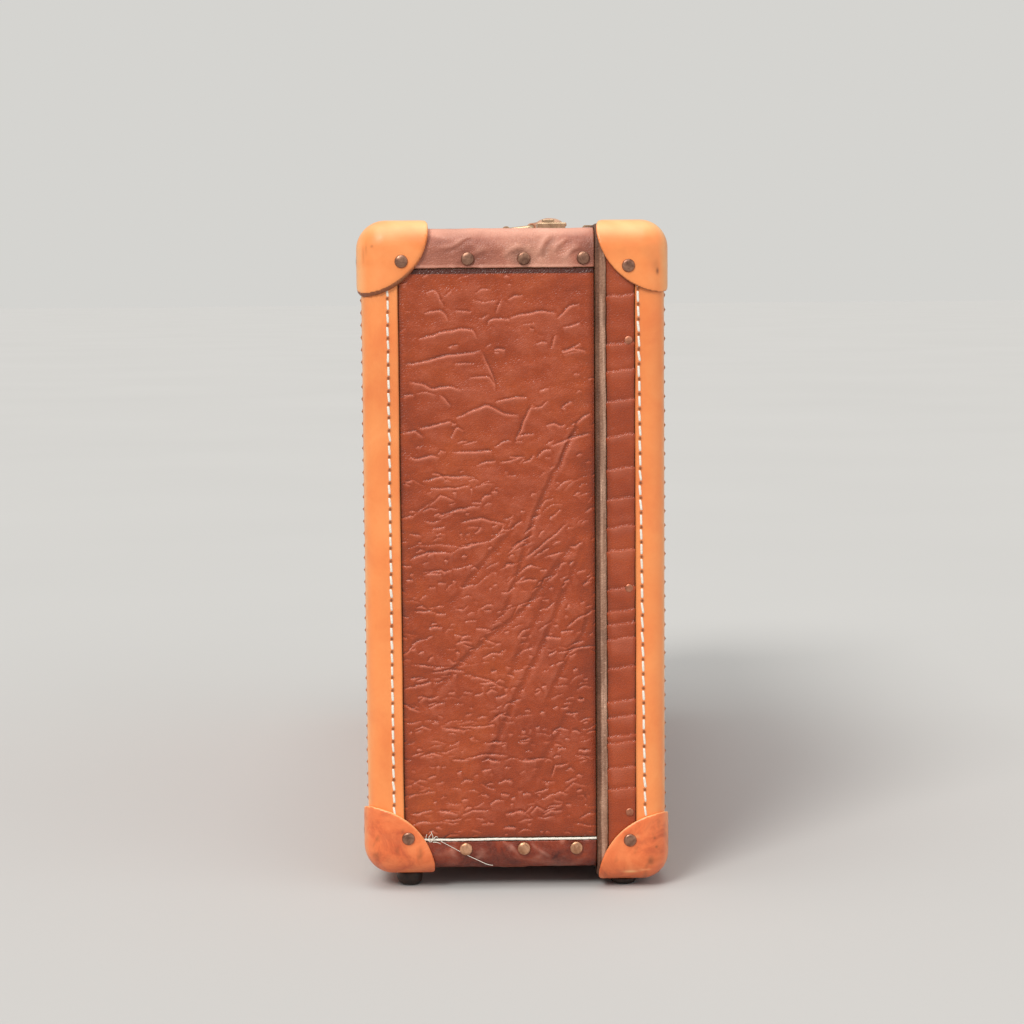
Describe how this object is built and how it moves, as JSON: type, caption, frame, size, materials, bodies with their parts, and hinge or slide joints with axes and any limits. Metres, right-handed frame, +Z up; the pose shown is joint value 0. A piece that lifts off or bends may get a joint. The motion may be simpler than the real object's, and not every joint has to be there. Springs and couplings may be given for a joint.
{
  "type": "suitcase",
  "caption": "Upright leather suitcase with a hinged lid, sliding-bolt locks with hasps, slotted lid stays and a folding handle.",
  "frame": {"origin": "on the floor under the middle of the case, standing on its hinge side", "axes": "+X through the thickness from the base to the lid, +Y along the length towards the right end, +Z up"},
  "size_m": [0.1932, 0.6132, 0.4218],
  "materials": {
    "fibreboard": "hard brown fibreboard",
    "lining": "plain woven cotton lining",
    "brown_leather": "creased brown hide, satin",
    "band_leather": "worn brown hide, satin",
    "tan_leather": "smooth tan hide, waxed",
    "rim_leather": "rubbed grey-brown leather edge",
    "handle_leather": "stitched saddle leather",
    "welt_cord": "off-white cord",
    "rivet_metal": "aged bronze-brown domes",
    "small_rivets": "painted-over small rivets",
    "feet": "dark moulded feet",
    "fitting_metal": "aged brass fittings"
  },
  "bodies": {
    "base": {"base_shell": "fibreboard", "base_lining": "lining", "base_binding": "tan_leather", "base_top_cover": "brown_leather", "base_bottom_cover": "brown_leather", "base_back_panel": "brown_leather", "base_end_panel_left": "brown_leather", "base_end_panel_right": "brown_leather", "edge_band_bottom_left": "band_leather", "edge_band_bottom_right": "band_leather", "edge_band_top_left": "band_leather", "edge_band_top_right": "band_leather", "base_cap_bottom_left": "tan_leather", "base_cap_bottom_right": "tan_leather", "base_cap_top_left": "tan_leather", "base_cap_top_right": "tan_leather", "welt_cords": "welt_cord", "base_feet": "feet", "base_cap_rivets": "rivet_metal", "band_rivets": "rivet_metal", "hinge_pins": "fitting_metal", "stay_pins": "fitting_metal", "handle_brackets": "fitting_metal", "base_fitting_rivets": "fitting_metal", "hinge_base_leaf_left": "fitting_metal", "hinge_base_leaf_right": "fitting_metal", "lock_body_left": "fitting_metal", "lock_body_right": "fitting_metal"},
    "lid": {"lid_shell": "fibreboard", "lid_lining": "lining", "lid_rim": "rim_leather", "lid_border": "brown_leather", "lid_binding": "tan_leather", "lid_face_panel": "brown_leather", "lid_cap_bottom_left": "tan_leather", "lid_cap_bottom_right": "tan_leather", "lid_cap_top_left": "tan_leather", "lid_cap_top_right": "tan_leather", "lid_feet": "feet", "lid_cap_rivets": "rivet_metal", "lid_border_rivets": "small_rivets", "stay_posts": "fitting_metal", "hasp_pins": "fitting_metal", "lid_fitting_rivets": "fitting_metal", "hinge_lid_leaf_left": "fitting_metal", "hinge_lid_leaf_right": "fitting_metal", "hasp_plate_left": "fitting_metal", "hasp_plate_right": "fitting_metal"},
    "handle": {"handle_grip": "handle_leather", "handle_rings": "fitting_metal"},
    "left_hasp": {"hasp_left": "fitting_metal"},
    "left_lock_slide": {"lock_bolt_left": "fitting_metal", "lock_button_left": "fitting_metal"},
    "left_stay": {"stay_bar_left": "fitting_metal"},
    "right_hasp": {"hasp_right": "fitting_metal"},
    "right_lock_slide": {"lock_bolt_right": "fitting_metal", "lock_button_right": "fitting_metal"},
    "right_stay": {"stay_bar_right": "fitting_metal"}
  },
  "joints": [
    {"name": "lid_hinge", "type": "hinge", "parent": "base", "child": "lid", "pos_m": [0.0463, 0, 0.009], "axis": [0, 1, 0], "range_deg": [0, 100]},
    {"name": "handle_fold", "type": "hinge", "parent": "base", "child": "handle", "pos_m": [0, 0, 0.4117], "axis": [0, -1, 0], "range_deg": [0, 167]},
    {"name": "left_hasp_hinge", "type": "hinge", "parent": "lid", "child": "left_hasp", "pos_m": [0.0602, -0.19, 0.4121], "axis": [0, 1, 0], "range_deg": [0, 140]},
    {"name": "left_lock_slide", "type": "slide", "parent": "base", "child": "left_lock_slide", "axis": [0, 1, 0], "range_m": [0, 0.007]},
    {"name": "left_stay_hinge", "type": "hinge", "parent": "lid", "child": "left_stay", "pos_m": [0.06372, -0.29175, 0.07886], "axis": [0, -1, 0], "range_deg": [0, 50]},
    {"name": "right_hasp_hinge", "type": "hinge", "parent": "lid", "child": "right_hasp", "pos_m": [0.0602, 0.19, 0.4121], "axis": [0, 1, 0], "range_deg": [0, 140]},
    {"name": "right_lock_slide", "type": "slide", "parent": "base", "child": "right_lock_slide", "axis": [0, -1, 0], "range_m": [0, 0.007]},
    {"name": "right_stay_hinge", "type": "hinge", "parent": "lid", "child": "right_stay", "pos_m": [0.06372, 0.29175, 0.07886], "axis": [0, -1, 0], "range_deg": [0, 50]}
  ],
  "couplings": [
    {"joint": "left_stay_hinge", "follows": "lid_hinge", "ratio": 0.5},
    {"joint": "right_stay_hinge", "follows": "lid_hinge", "ratio": 0.5}
  ]
}
